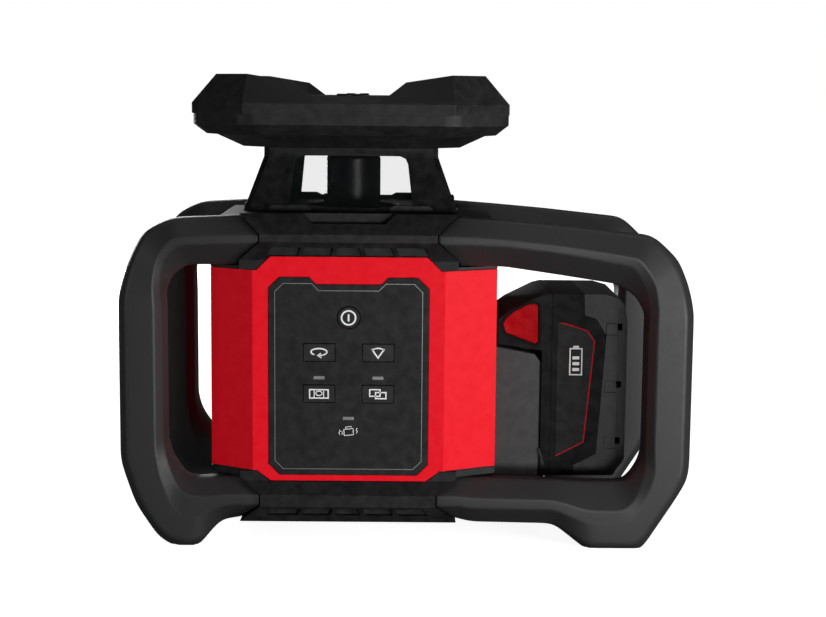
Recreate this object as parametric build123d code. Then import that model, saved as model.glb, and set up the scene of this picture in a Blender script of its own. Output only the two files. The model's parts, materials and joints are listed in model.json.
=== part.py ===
from build123d import *
import math
import os

# Rotating laser level. Millimetres, +Z up, the control panel faces -Y.
# The origin is the mouth of the tripod thread, on the rotor's axis, in the base's underside.

# ---- driving dimensions ----------------------------------------------------------------

FLOOR = -16.0                      # the handles' feet, below the base's underside
BODY_LEFT, BODY_RIGHT = -86.3, 91.6
BODY_FRONT = 88.0                  # half depth of the body; it is symmetric about Y = 0
BODY_SIDE = 71.0                   # half depth of the body's flat sides
FACE_HALF = 59.0                   # half width of the front face
WALL = 3.0
SEAM = 0.5                         # gap at a visible joint line

BASE_TOP, DECK_BOTTOM = 31.5, 157.0
SEAL = 0.5
DECK_TOP = 191.0
BAND_FRONT = 95.0                  # half depth over the deck's and the base's bands
END_HALF, BAND_HALF = 67.0, 54.0   # half widths of the chevron-ended centre blocks
BLOCK_SIDE = 57.5                  # half depth of the deck and base beside the handles
CAVITY_SIDE = 52.0
TONGUE_HALF, TONGUE_RAMP = 48.0, 8.0

HANDLE_Y = 75.0
ARM_UNDER, LOWER_ARM_TOP = 158.9, 27.0
FOOT_CUT = 3.0                     # the handles' lowest points are cut off by this to make flat feet

PANEL_HALF, PANEL_LOW, PANEL_HIGH = 49.0, 29.4, 152.4
PANEL_CORNER = 6.7
PANEL_DIP, PANEL_DIP_HALF = 4.3, 20.0
PANEL_BACK, PANEL_FACE = 87.0, 88.6
KEY_X, KEY_ROWS = 18.1, (106.1, 80.4)
KEY_SIZE = (19.1, 10.7)
POWER_Z, POWER_R = 127.8, 6.8
LAMPS = ((-KEY_X, 90.4), (KEY_X, 90.4), (0.0, 65.1))
LAMP_SIZE = (6.8, 2.1)
KEY_CLEAR = 0.3

TOWER_LOW, TOWER_HIGH = 66.5, 54.5  # half widths of the lighthouse at its foot and head
TOWER_NECK, TOWER_TOP = 224.5, 229.9
TOWER_CORNER = 3.4
TOWER_WALL = 6.0
WINDOW_LOW, WINDOW_HIGH = (195.0, 38.5), (225.0, 35.0)
SILL_STEP, SILL_DROP = (24.5, 27.7), 1.6
PANE = 2.5

CAP_HALF, CAP_FLAT = 98.0, 0.65    # half size, and flat width as a share of it
CAP_PART, CAP_BAND_LOW, CAP_BAND_HIGH = 251.0, 244.4, 257.4
CAP_VALLEY, CAP_PEAK = 262.3, 275.0

GIMBAL_Z = 120.0
RING_IN, RING_OUT, RING_HALF = 24.0, 31.0, 4.0
PIN_R, PIN_BORE = 2.5, 2.56
POST_IN, POST_OUT = 36.0, 42.0
BARREL_R, BARREL_BORE = 14.0, 10.5
BARREL_LOW, BARREL_HIGH = 60.0, 171.0
FORK_ROOT, FORK_FLOOR, FORK_TIP = 43.0, 44.6, 50.0  # distances from the gimbal's axes
FORK_GAP = 2.6                     # half width of a fork's slot
FORK_PIN = 46.8                    # where the nuts' pins end
ROLL_FORK_Z = 135.0
SCREW_R, SCREW_BORE = 2.0, 2.05
PITCH_SCREW_Y, ROLL_SCREW_X = 58.0, -59.0

SPINDLE_R, SPINDLE_BORE = 6.45, 4.5
ROTOR_R, ROTOR_LOW, ROTOR_HIGH = 17.6, 190.0, 223.6
ROTOR_HOLE = 30.0                  # the deck's opening leaves room for the rotor's tilt
GEAR_Z, GEAR_THICK = 174.0, 5.0
GEAR_MODULE, GEAR_TEETH, PINION_TEETH = 0.8, 48, 12
MOTOR_Y = -GEAR_MODULE * (GEAR_TEETH + PINION_TEETH) / 2
APERTURE_TURN = 38.0               # degrees from the front, towards the left side

TRIPOD_R, TRIPOD_DEPTH = 7.94, 18.0  # 5/8 inch survey thread

PACK_HALF = 39.0                   # half width of the battery pack and its dock
DOCK_RIGHT = 122.4
PACK_LEFT, PACK_RIGHT = 122.8, 177.8
PACK_LOW, PACK_HIGH = 18.6, 137.4
HEAD_LOW = 100.6
RAIL_LEFT, RAIL_STEP, RAIL_HALF, NECK_HALF = 110.0, 116.0, 26.0, 20.0
RAIL_LOW, RAIL_CLEAR = 26.0, 0.4
TERMINAL_LOW = 21.8
CELL_R, CELL_LENGTH = 9.1, 65.0


# ---- solids from outlines --------------------------------------------------------------

def solid(points, path):
    """A closed outline of points, pushed along a path."""
    return Solid.extrude(Face(Wire.make_polygon(points, close=True)), Vector(*path))


def prism_z(outline, low, high):
    return solid([(x, y, low) for x, y in outline], (0, 0, high - low))


def prism_y(outline, low, high):
    return solid([(x, low, z) for x, z in outline], (0, high - low, 0))


def prism_x(outline, low, high):
    return solid([(low, y, z) for y, z in outline], (high - low, 0, 0))


def block(x, y, z):
    """A box between the low and high values on each axis."""
    return prism_z([(x[0], y[0]), (x[1], y[0]), (x[1], y[1]), (x[0], y[1])], *z)


def rod_z(x, y, low, high, radius):
    return Solid.make_cylinder(radius, high - low, Plane((x, y, low)))


def rod_y(x, z, low, high, radius):
    return Solid.make_cylinder(radius, high - low, Plane((x, low, z), x_dir=(1, 0, 0), z_dir=(0, 1, 0)))


def rod_x(y, z, low, high, radius):
    return Solid.make_cylinder(radius, high - low, Plane((low, y, z), x_dir=(0, 1, 0), z_dir=(1, 0, 0)))


def loft(sections):
    """A ruled solid through closed sections with the same number of corners."""
    return Solid.make_loft([Wire.make_polygon(points, close=True) for points in sections], ruled=True)


def joined(pieces):
    total = pieces[0]
    for piece in pieces[1:]:
        total = total + piece
    return total


def cut(body, tools):
    for tool in tools:
        body = body - tool
    return body


def mirrored_y(shape):
    return shape.mirror(Plane.XZ)


def rounded_block(x, z, y, radius):
    """A plate facing -Y with rounded corners."""
    plate = block(x, y, z)
    return plate.fillet(radius, plate.edges().filter_by(Axis.Y))


# ---- shared outlines -------------------------------------------------------------------

def body_plan(inset=0.0):
    """The body's eight-sided plan; its corners are cut back to the sides at a shallow angle."""
    slope = math.atan2(BODY_FRONT - BODY_SIDE, BODY_RIGHT - FACE_HALF)
    shift = inset * (1 - math.sin(slope)) / math.cos(slope)
    corner = inset * math.tan(slope / 2)
    left, right = BODY_LEFT + inset, BODY_RIGHT - inset
    front, side, face = BODY_FRONT - inset, BODY_SIDE - shift, FACE_HALF - corner
    return [(-face, -front), (face, -front), (right, -side), (right, side),
            (face, front), (-face, front), (left, side), (left, -side)]


def panel_outline(inset=0.0):
    """Cut corners, and a shallow dip in the middle of the top edge."""
    half, low, high = PANEL_HALF - inset, PANEL_LOW + inset, PANEL_HIGH - inset
    corner = PANEL_CORNER - inset * math.tan(math.pi / 8)
    dip = PANEL_DIP_HALF - inset * math.tan(math.pi / 8)
    return [(-half + corner, low), (half - corner, low), (half, low + corner), (half, high - corner),
            (half - corner, high), (dip + PANEL_DIP, high), (dip, high - PANEL_DIP),
            (-dip, high - PANEL_DIP), (-dip - PANEL_DIP, high), (-half + corner, high),
            (-half, high - corner), (-half, low + corner)]


def deck_block(gap=0.0):
    """The deck's centre block: chevron ends, and a band between two slopes on its front."""
    end, band = END_HALF + gap, BAND_HALF + gap
    ends = [(-end, 151.0), (end, 151.0), (end, 162.6), (band, 174.3), (band, 179.0), (end, DECK_TOP),
            (-end, DECK_TOP), (-band, 179.0), (-band, 174.3), (-end, 162.6)]
    front = [(-BODY_FRONT, 151.0), (-BODY_FRONT, 162.6), (-BAND_FRONT, 174.3), (-BAND_FRONT, 179.0),
             (-85.0, DECK_TOP), (85.0, DECK_TOP), (BAND_FRONT, 179.0), (BAND_FRONT, 174.3),
             (BODY_FRONT, 162.6), (BODY_FRONT, 151.0)]
    return prism_y(ends, -BAND_FRONT, BAND_FRONT) & prism_x(front, -END_HALF - gap, END_HALF + gap)


def base_block(gap=0.0):
    end, band = END_HALF + gap, BAND_HALF + gap
    ends = [(-end, 0.0), (end, 0.0), (band, 10.5), (band, 17.9), (end, 27.2), (end, 37.0),
            (-end, 37.0), (-end, 27.2), (-band, 17.9), (-band, 10.5)]
    front = [(-90.0, 0.0), (-BAND_FRONT, 10.5), (-BAND_FRONT, 17.9), (-BODY_FRONT, 25.5),
             (-BODY_FRONT, 37.0), (BODY_FRONT, 37.0), (BODY_FRONT, 25.5), (BAND_FRONT, 17.9),
             (BAND_FRONT, 10.5), (90.0, 0.0)]
    return prism_y(ends, -BAND_FRONT, BAND_FRONT) & prism_x(front, -END_HALF - gap, END_HALF + gap)


def tongue(gap, low, high):
    """The red front's tongue that rises into the deck and drops into the base."""
    half = TONGUE_HALF + gap
    wide = half + TONGUE_RAMP
    outline = [(-wide, DECK_BOTTOM), (-wide, BASE_TOP), (-half, BASE_TOP - TONGUE_RAMP + 2 - gap),
               (half, BASE_TOP - TONGUE_RAMP + 2 - gap), (wide, BASE_TOP), (wide, DECK_BOTTOM),
               (half, DECK_BOTTOM + TONGUE_RAMP + gap), (-half, DECK_BOTTOM + TONGUE_RAMP + gap)]
    return prism_y(outline, low, high)


# Each vent pocket: its left and right ends at the bottom, then at the top.
VENTS = ((-49.7, -31.2, -46.6, -28.7), (-28.1, -10.9, -26.3, -9.1), (-8.0, 8.0, -6.4, 6.4),
         (10.9, 28.1, 9.1, 26.3), (31.2, 49.7, 28.7, 46.6))


def vent_pockets(low, high, face):
    """Five pockets in a slanted face; the outer ones lean towards the middle one."""
    pockets = []
    for left, right, top_left, top_right in VENTS:
        outline = [(left, low), (right, low), (top_right, high), (top_left, high)]
        pockets.append(prism_y(outline, -face, -face + 7.0))
    return pockets


# ---- handles ---------------------------------------------------------------------------

# A section is half of a ten-sided outline: five corners, each a share of the way from the
# bar's outer point to its inner point, and a distance from the handle's middle plane.
ARM = ((0.0, 5.0), (0.02, 6.5), (0.36, 17.0), (0.53, 17.0), (1.0, 5.0))
LEG = ((0.0, 9.0), (0.20, 17.0), (0.83, 17.0), (1.0, 11.0), (1.0, 6.0))
LEFT_FOOT = ((0.0, 12.0), (0.14, 17.0), (0.50, 17.0), (0.80, 17.0), (1.0, 6.0))
RIGHT_FOOT = ((0.0, 12.0), (0.14, 17.0), (0.45, 17.0), (0.63, 17.0), (1.0, 6.0))
LOWER_ARM = ((0.0, 5.0), (0.04, 7.0), (0.40, 17.0), (0.64, 17.0), (1.0, 5.0))


def mix(first, second, share):
    """A section part of the way from the first to the second."""
    return tuple((t1 + (t2 - t1) * share, y1 + (y2 - y1) * share)
                 for (t1, y1), (t2, y2) in zip(first, second))


# Each station: the bar's outer point, its inner point and its section.
LEFT_STATIONS = (
    ((-50.0, 190.6), (-50.0, ARM_UNDER), ARM),
    ((-110.0, 187.2), (-100.0, 158.6), ARM),
    ((-127.0, 178.6), (-109.0, 152.0), mix(ARM, LEG, 0.4)),
    ((-136.6, 158.0), (-113.4, 143.0), mix(ARM, LEG, 0.8)),
    ((-141.8, 140.0), (-113.9, 134.0), LEG),
    ((-141.8, 36.0), (-113.9, 48.0), LEG),
    ((-132.5, 9.0), (-109.5, 37.0), mix(LEG, LEFT_FOOT, 0.35)),
    ((-117.5, -13.0), (-103.0, 27.5), mix(LEG, LEFT_FOOT, 0.8)),
    ((-104.5, FLOOR - FOOT_CUT), (-97.5, 25.0), LEFT_FOOT),
    ((-94.4, FLOOR - FOOT_CUT), (-90.0, 25.0), LEFT_FOOT),
    ((-80.0, -1.5), (-80.0, 26.0), mix(LEFT_FOOT, LOWER_ARM, 0.8)),
    ((-68.5, 0.0), (-68.5, LOWER_ARM_TOP), LOWER_ARM),
    ((-50.0, 0.0), (-50.0, LOWER_ARM_TOP), LOWER_ARM),
)
RIGHT_STATIONS = (
    ((50.0, 190.6), (50.0, ARM_UNDER), ARM),
    ((95.0, 187.4), (95.0, ARM_UNDER), ARM),
    ((131.0, 184.4), (128.0, 154.2), ARM),
    ((187.0, 178.6), (165.0, 148.6), mix(ARM, LEG, 0.15)),
    ((202.5, 164.0), (177.0, 141.0), mix(ARM, LEG, 0.5)),
    ((209.0, 148.0), (183.0, 131.0), mix(ARM, LEG, 0.85)),
    ((212.5, 133.0), (184.0, 123.0), LEG),
    ((212.5, 35.0), (184.0, 48.0), LEG),
    ((211.0, 26.0), (181.5, 37.5), mix(LEG, RIGHT_FOOT, 0.3)),
    ((203.5, 13.5), (177.0, 30.0), mix(LEG, RIGHT_FOOT, 0.6)),
    ((190.5, -6.5), (172.0, 25.0), mix(LEG, RIGHT_FOOT, 0.85)),
    ((182.5, FLOOR - FOOT_CUT), (165.0, 24.5), RIGHT_FOOT),
    ((150.0, FLOOR - FOOT_CUT), (148.0, 24.5), RIGHT_FOOT),
    ((128.5, -2.5), (127.0, 25.5), mix(RIGHT_FOOT, LOWER_ARM, 0.8)),
    ((76.0, -2.0), (76.0, 26.5), LOWER_ARM),
    ((68.5, 0.0), (68.5, LOWER_ARM_TOP), LOWER_ARM),
    ((50.0, 0.0), (50.0, LOWER_ARM_TOP), LOWER_ARM),
)


def handle_section(outer, inner, section):
    """A ten-sided outline between the bar's outer and inner points."""
    across, down = inner[0] - outer[0], inner[1] - outer[1]
    rim = [(outer[0] + across * t, y, outer[1] + down * t) for t, y in section]
    front = [(x, -HANDLE_Y - y, z) for x, y, z in rim]
    back = [(x, -HANDLE_Y + y, z) for x, y, z in reversed(rim)]
    return front + back


SCREW_PLACES = [(-77.0, 174.0), (-77.0, 13.5), (77.0, 174.0), (77.0, 13.5)]
SCREW_SHAFT, SCREW_HEAD = 2.0, 2.9


def front_handle(stations):
    bar = loft([handle_section(*station) for station in stations])
    bores = [rod_y(x, z, -66.5, -BLOCK_SIDE + 1, SCREW_SHAFT) for x, z in SCREW_PLACES]
    below = block((-250.0, 250.0), (-100.0, -50.0), (FLOOR - 2 * FOOT_CUT, FLOOR))
    return cut(bar, [deck_block(SEAM), base_block(SEAM), below] + bores)


def handle_screws():
    screws = []
    for x, z in SCREW_PLACES:
        screw = rod_y(x, z, -66.0, -CAVITY_SIDE, SCREW_SHAFT) + rod_y(x, z, -CAVITY_SIDE, -49.0, SCREW_HEAD)
        screws += [screw, mirrored_y(screw)]
    return screws


def screw_holes():
    return [rod_y(x, z, -HANDLE_Y, HANDLE_Y, SCREW_SHAFT) for x, z in SCREW_PLACES]


# ---- body shells -----------------------------------------------------------------------

BASE_SCREWS = [(x, y) for x in (-58.0, 58.0) for y in (-43.0, 43.0)]
SHELF_TOP, SHELF_RIGHT = 16.8, 126.0
TRIPOD_BOSS, TRIPOD_FLANGE = 20.0, 30.0
BASE_FLOOR = 5.0


def base_housing():
    skirt = prism_z(body_plan(), 27.4, BASE_TOP)
    sides = block((-84.0, 90.0), (-BLOCK_SIDE, BLOCK_SIDE), (0.0, BASE_TOP))
    shelf = block((60.0, SHELF_RIGHT), (-BLOCK_SIDE, BLOCK_SIDE), (0.0, SHELF_TOP))
    outer = joined([base_block(), sides, skirt, shelf]) - block((-200, 200), (-200, 200), (BASE_TOP, 40))
    cavities = [
        block((-80.0, 86.0), (-CAVITY_SIDE, CAVITY_SIDE), (BASE_FLOOR, 40)),
        block((-48.0, 48.0), (-82.0, 82.0), (BASE_FLOOR, 40)),
        block((-80.0, 86.0), (-66.0, 66.0), (28.9, 40)),
    ]
    tongues = [tongue(0.4, -100, -84.8), tongue(0.4, 84.8, 100)]
    pockets = vent_pockets(4.6, 9.0, BAND_FRONT)
    holes = [rod_z(0, 0, -1, BASE_FLOOR, TRIPOD_BOSS)]
    for x, y in BASE_SCREWS:
        holes += [rod_z(x, y, -1, 3.0, 4.2), rod_z(x, y, 2.0, BASE_FLOOR, 1.8)]
    return cut(outer, cavities + tongues + pockets + [mirrored_y(p) for p in pockets] + holes + screw_holes())


def base_screws():
    return [rod_z(x, y, 0.4, 3.0, 3.8) + rod_z(x, y, 3.0, 18.0, 1.6) for x, y in BASE_SCREWS]


def tripod_plate():
    plate = rod_z(0, 0, 0, 21.0, TRIPOD_BOSS) + rod_z(0, 0, BASE_FLOOR, 9.0, TRIPOD_FLANGE)
    return plate - rod_z(0, 0, -1, TRIPOD_DEPTH, TRIPOD_R)


def top_deck():
    skirt = prism_z(body_plan(), DECK_BOTTOM, 158.6)
    sides = block((-84.0, 89.0), (-BLOCK_SIDE, BLOCK_SIDE), (DECK_BOTTOM, 186.0))
    outer = joined([deck_block(), sides, skirt]) - block((-200, 200), (-200, 200), (140, DECK_BOTTOM))
    cavities = [
        block((-80.0, 85.0), (-CAVITY_SIDE, CAVITY_SIDE), (150, 182.0)),
        block((-50.0, 50.0), (-80.0, 80.0), (150, 186.0)),
        rod_z(0, 0, 180.0, 200.0, ROTOR_HOLE),
    ]
    tongues = [tongue(0.4, -100, -84.8), tongue(0.4, 84.8, 100)]
    pockets = vent_pockets(165.6, 171.0, BAND_FRONT)
    # A shallow sighting notch in the middle of the deck's upper slopes.
    notch = prism_y([(-29.0, 192.0), (-22.5, 185.2), (22.5, 185.2), (29.0, 192.0)], -100, -81.0)
    tower_screws = [rod_z(x, y, 180.0, 192.0, 1.6) for x, y in TOWER_SCREWS]
    cuts = cavities + tongues + pockets + [mirrored_y(p) for p in pockets]
    return cut(outer, cuts + [notch, mirrored_y(notch)] + tower_screws + screw_holes())


def shell_ring():
    low, high = BASE_TOP + SEAL, DECK_BOTTOM - SEAL
    ring = prism_z(body_plan(), low, high) - prism_z(body_plan(WALL), low - 1, high + 1)
    return ring + (tongue(0.0, -BODY_FRONT, -BODY_FRONT + WALL) + tongue(0.0, BODY_FRONT - WALL, BODY_FRONT))


def key_holes(low, high, clear):
    """Openings for the keys and the indicator lenses."""
    holes = [rod_y(0, POWER_Z, low, high, POWER_R + clear)]
    for x in (-KEY_X, KEY_X):
        for z in KEY_ROWS:
            holes.append(plate_at(x, z, KEY_SIZE, low, high, clear))
    holes += [plate_at(x, z, LAMP_SIZE, low, high, 0.0) for x, z in LAMPS]
    return holes


def plate_at(x, z, size, low, high, grow):
    half_x, half_z = size[0] / 2 + grow, size[1] / 2 + grow
    return block((x - half_x, x + half_x), (low, high), (z - half_z, z + half_z))


def front_shell():
    half = shell_ring() & block((-200, 200), (-200, 0), (0, 200))
    recess = prism_y(panel_outline(-0.25), -BODY_FRONT - 1, -PANEL_BACK)
    return cut(half, [recess] + key_holes(-90, -80, KEY_CLEAR))


def rear_shell():
    half = shell_ring() & block((-200, 200), (0, 200), (0, 200))
    return half - prism_y(panel_outline(-0.25), PANEL_BACK, BODY_FRONT + 1)


def seal_ring(low):
    ring = prism_z(body_plan(0.6), low, low + SEAL) - prism_z(body_plan(2.4), low - 1, low + 2)
    return cut(ring, [tongue(0.2, -100, -84.9), tongue(0.2, 84.9, 100)])


# ---- control panel ---------------------------------------------------------------------

def control_panel():
    plate = prism_y(panel_outline(), -PANEL_FACE, -PANEL_BACK)
    return cut(plate, key_holes(-90, -80, KEY_CLEAR))


def rear_panel():
    plate = prism_y(panel_outline(), PANEL_BACK, PANEL_FACE)
    grooves = [block((-34.0, 34.0), (PANEL_FACE - 0.7, 90), (z, z + 3.0)) for z in range(62, 122, 8)]
    return cut(plate, grooves)


KEY_BACK, KEY_FRONT = -84.2, -88.9


def power_button():
    cap = rod_y(0, POWER_Z, -89.4, KEY_BACK, POWER_R)
    cap = cap.fillet(0.5, [cap.edges().sort_by(Axis.Y)[0]])
    return cap + rod_y(0, POWER_Z, KEY_BACK - 0.6, KEY_BACK, POWER_R + 1)


def key_button(x, z):
    half_x, half_z = KEY_SIZE[0] / 2, KEY_SIZE[1] / 2
    key = rounded_block((x - half_x, x + half_x), (z - half_z, z + half_z), (KEY_FRONT, KEY_BACK), 0.8)
    return key + plate_at(x, z, KEY_SIZE, KEY_BACK - 0.6, KEY_BACK, 1.0)


def indicator_lenses():
    return [plate_at(x, z, LAMP_SIZE, -88.8, -83.6, 0.0) for x, z in LAMPS]


def keypad_membrane():
    sheet = block((-36.0, 36.0), (-83.4, -82.2), (58.0, 138.0))
    slots = [plate_at(x, z, LAMP_SIZE, -85, -80, 0.3) for x, z in LAMPS]
    return cut(sheet, slots)


def keypad_board():
    return block((-42.0, 42.0), (-81.8, -80.2), (40.0, 146.0))


def main_board():
    board = block((-48.0, 48.0), (76.0, 77.6), (40.0, 146.0))
    chips = [
        block((-20.0, -6.0), (74.4, 76.0), (80.0, 94.0)),
        block((14.0, 24.0), (74.8, 76.0), (100.0, 108.0)),
        block((-40.0, -30.0), (70.0, 76.0), (44.0, 62.0)),
    ]
    return joined([board] + chips)


def buzzer():
    return rod_y(34.0, 126.0, 69.0, 76.0, 8.0) - rod_y(34.0, 126.0, 68.0, 71.0, 1.5)


# ---- lighthouse and cap ----------------------------------------------------------------

TOWER_SCREWS = [(x, y) for x in (-46.0, 46.0) for y in (-46.0, 46.0)]
CAP_SCREWS = [(x, y) for x in (-42.0, 42.0) for y in (-42.0, 42.0)]


def square(half, corner, z):
    """A square with cut corners, as a section for a loft."""
    flat = half - corner
    return [(-flat, -half, z), (flat, -half, z), (half, -flat, z), (half, flat, z),
            (flat, half, z), (-flat, half, z), (-half, flat, z), (-half, -flat, z)]


def tower_half(z):
    return TOWER_LOW + (TOWER_HIGH - TOWER_LOW) * (min(z, TOWER_NECK) - DECK_TOP) / (TOWER_NECK - DECK_TOP)


def tower_skin(depth, low, high):
    """The lighthouse's outer pyramid and straight neck, set in by a depth."""
    heights = [low, TOWER_NECK, high] if high > TOWER_NECK else [low, high]
    return loft([square(tower_half(z) - depth, TOWER_CORNER, z) for z in heights])


def window_cut(gap=0.0):
    """A trapezoid with cut top corners and a sunk middle sill, through the front and the back."""
    (low, wide), (high, narrow) = WINDOW_LOW, WINDOW_HIGH
    wide, narrow, low, high = wide - gap, narrow - gap, low + gap, high - gap
    step_in, step_out, sill = SILL_STEP[0] - gap, SILL_STEP[1] - gap, low - SILL_DROP
    return prism_y([(-wide, low), (-step_out, low), (-step_in, sill), (step_in, sill), (step_out, low),
                    (wide, low), (narrow + 0.6, high - 5), (narrow - 0.9, high - 1.6), (narrow - 4.5, high),
                    (-narrow + 4.5, high), (-narrow + 0.9, high - 1.6), (-narrow - 0.6, high - 5)], -80, 80)


def sill_ends():
    """Raised ledges at both ends of each window's sill."""
    (step_in, step_out), top, reach = SILL_STEP, WINDOW_LOW[0], tower_half(DECK_TOP) + 0.6
    ledges = []
    for side in (-1, 1):
        outline = [(side * step_in, top - SILL_DROP), (side * step_out, top), (side * 49.0, top),
                   (side * 51.0, top - 2.0), (side * 51.0, DECK_TOP), (side * step_in, DECK_TOP)]
        ledge = prism_y(outline, -reach, -reach + 6.0)
        ledges += [ledge.rotate(Axis.Z, 90.0 * quarter) for quarter in range(4)]
    return ledges


def lighthouse_frame():
    frame = tower_skin(0.0, DECK_TOP, TOWER_TOP) - tower_skin(TOWER_WALL, DECK_TOP - 1, 226.0)
    holes = [rod_z(x, y, 220.0, 232.0, 1.8) for x, y in CAP_SCREWS]
    feet = [block(sorted((x * 0.9, x * 1.35)), sorted((y * 0.9, y * 1.35)), (DECK_TOP, 195.0))
            for x, y in TOWER_SCREWS]
    feet = [foot & tower_skin(1.0, DECK_TOP, TOWER_TOP) for foot in feet]
    frame = cut(frame, [window_cut(), window_cut().rotate(Axis.Z, 90)] + holes)
    frame = joined([frame] + feet + sill_ends())
    return cut(frame, [rod_z(x, y, 190.0, 200.0, 1.6) for x, y in TOWER_SCREWS])


def tower_screws():
    return [rod_z(x, y, 182.5, 186.0, 3.0) + rod_z(x, y, 186.0, 194.5, 1.6) for x, y in TOWER_SCREWS]


def window_glass(turn):
    band = tower_skin(1.5, DECK_TOP, TOWER_TOP) - tower_skin(1.5 + PANE, DECK_TOP - 1, TOWER_TOP + 1)
    pane = (band & window_cut(0.05)) & block((-60, 60), (-80, 0), (DECK_TOP, TOWER_TOP))
    return pane.rotate(Axis.Z, turn)


def octagon(half, z):
    return square(half, half * (1 - CAP_FLAT), z)


def cap_lower():
    shell = loft([octagon(60.0, TOWER_TOP), octagon(68.0, TOWER_TOP + 0.4), octagon(83.3, 237.9),
                  octagon(90.5, 238.4), octagon(CAP_HALF, CAP_BAND_LOW), octagon(CAP_HALF, CAP_PART)])
    hollow = prism_z([(x, y) for x, y, z in octagon(80.0, 0)], 241.0, CAP_PART + 1)
    bosses = [rod_z(x, y, 240.0, CAP_PART, 6.0) for x, y in CAP_SCREWS]
    bores = [rod_z(x, y, 229.0, CAP_PART + 1, 1.6) for x, y in CAP_SCREWS]
    return cut(joined([shell - hollow] + bosses), bores)


def cap_lobe():
    """One raised corner: a roof that tips towards the middle."""
    low, top, top_end = 17.0, 34.0, 270.6
    flat, peak_flat, peak = CAP_HALF * CAP_FLAT, 62.0, 83.0
    tip = (CAP_PEAK - top_end) / (peak_flat - top)
    floor = [(low, low), (low, CAP_HALF), (flat, CAP_HALF), (CAP_HALF, flat), (CAP_HALF, low)]
    roof = [(top, top), (top, peak), (peak_flat, peak), (peak, peak_flat), (peak, top)]
    heights = [CAP_PEAK + tip * (x + y - peak - peak_flat) for x, y in roof]
    return loft([[(x, y, CAP_BAND_HIGH) for x, y in floor],
                 [(x, y, z) for (x, y), z in zip(roof, heights)]])


def cap_upper():
    band = prism_z([(x, y) for x, y, z in octagon(CAP_HALF, 0)], CAP_PART, CAP_BAND_HIGH)
    valley = loft([octagon(CAP_HALF, CAP_BAND_HIGH), octagon(88.0, CAP_VALLEY)])
    lobe = cap_lobe()
    lobes = [lobe.rotate(Axis.Z, 90.0 * quarter) for quarter in range(4)]
    sights = []
    for side in (-1, 1):
        outline = [(side * 1.7, CAP_VALLEY - 1), (side * 9.0, CAP_VALLEY - 1), (side * 7.5, CAP_VALLEY + 1.3),
                   (side * 1.7, CAP_VALLEY + 1.3)]
        sights += [prism_y(outline, y - 2.5, y + 2.5) for y in (-82.0, 82.0)]
    hollow = prism_z([(x, y) for x, y, z in octagon(80.0, 0)], CAP_PART - 1, CAP_BAND_HIGH)
    bores = [rod_z(x, y, CAP_PART - 1, 256.0, 1.6) for x, y in CAP_SCREWS]
    bosses = [rod_z(x, y, CAP_PART, CAP_BAND_HIGH, 6.0) for x, y in CAP_SCREWS]
    return cut(joined([joined([band, valley] + lobes + sights) - hollow] + bosses), bores)


def cap_screws():
    return [rod_z(x, y, 223.0, 226.0, 3.2) + rod_z(x, y, 226.0, 255.0, 1.6) for x, y in CAP_SCREWS]


# ---- gimbal and levelling drives -------------------------------------------------------

CHASSIS_LOW, CHASSIS_TOP = 23.0, 27.0
NUT_HALF = 6.0


def chassis():
    plate = joined([
        block((-70.0, 66.0), (-50.0, 50.0), (CHASSIS_LOW, CHASSIS_TOP)),
        block((-30.0, 30.0), (-70.0, 70.0), (CHASSIS_LOW, CHASSIS_TOP)),
    ])
    posts = [block(sorted((side * POST_IN, side * POST_OUT)), (-12.0, 12.0), (CHASSIS_LOW, GIMBAL_Z + 6))
             for side in (-1, 1)]
    legs = [rod_z(x, y, BASE_FLOOR, CHASSIS_TOP, 5.0) for x, y in BASE_SCREWS]
    bores = [rod_z(x, y, 4.0, 18.5, 1.6) for x, y in BASE_SCREWS]
    return cut(joined([plate] + posts + legs), bores + [rod_x(0, GIMBAL_Z, -60, 60, PIN_BORE)])


def fork(middle, stem):
    """An arm along +Y that ends in two prongs over and under the nut's pin."""
    arm = block((-5.0, 5.0), (stem, FORK_FLOOR), (middle - 3, middle + 3))
    head = block((-5.0, 5.0), (FORK_ROOT, FORK_TIP), (middle - 9.0, middle + 9.0))
    slot = block((-6.0, 6.0), (FORK_FLOOR, FORK_TIP + 1), (middle - FORK_GAP, middle + FORK_GAP))
    return (arm + head) - slot


def gimbal_ring():
    low, high = GIMBAL_Z - RING_HALF, GIMBAL_Z + RING_HALF
    ring = rod_z(0, 0, low, high, RING_OUT) - rod_z(0, 0, low - 1, high + 1, RING_IN)
    ring = ring - rod_x(0, GIMBAL_Z, -40, 40, PIN_R)
    ring = ring - rod_y(0, GIMBAL_Z, -40, 40, PIN_BORE)
    arm = fork(GIMBAL_Z, RING_OUT)
    root = block((-5.0, 5.0), (RING_OUT - 2.0, RING_OUT + 1.0), (low, high))
    root = root - rod_z(0, 0, 0, 200, RING_OUT - 1)
    return joined([ring, root - rod_y(0, GIMBAL_Z, 0, RING_OUT, PIN_BORE), arm])


def ring_pins():
    return [rod_x(0, GIMBAL_Z, RING_IN + 1, POST_OUT, PIN_R),
            rod_x(0, GIMBAL_Z, -POST_OUT, -RING_IN - 1, PIN_R)]


def laser_barrel():
    tube = rod_z(0, 0, BARREL_LOW, BARREL_HIGH, BARREL_R)
    collar = rod_z(0, 0, GIMBAL_Z - 6, GIMBAL_Z + 6, 17.0)
    flange = joined([rod_z(0, 0, 168.0, BARREL_HIGH, 17.0),
                     block((-11.0, 11.0), (MOTOR_Y - 10.0, 0), (168.0, BARREL_HIGH))])
    arm = fork(ROLL_FORK_Z, BARREL_R - 2).rotate(Axis.Z, 90)
    body = joined([tube, collar, flange, arm])
    bores = [rod_z(0, 0, 50, 200, BARREL_BORE), rod_z(0, MOTOR_Y, 150, 200, 2.0),
             rod_y(0, GIMBAL_Z, -20, 20, PIN_R)]
    return cut(body, bores)


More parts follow.
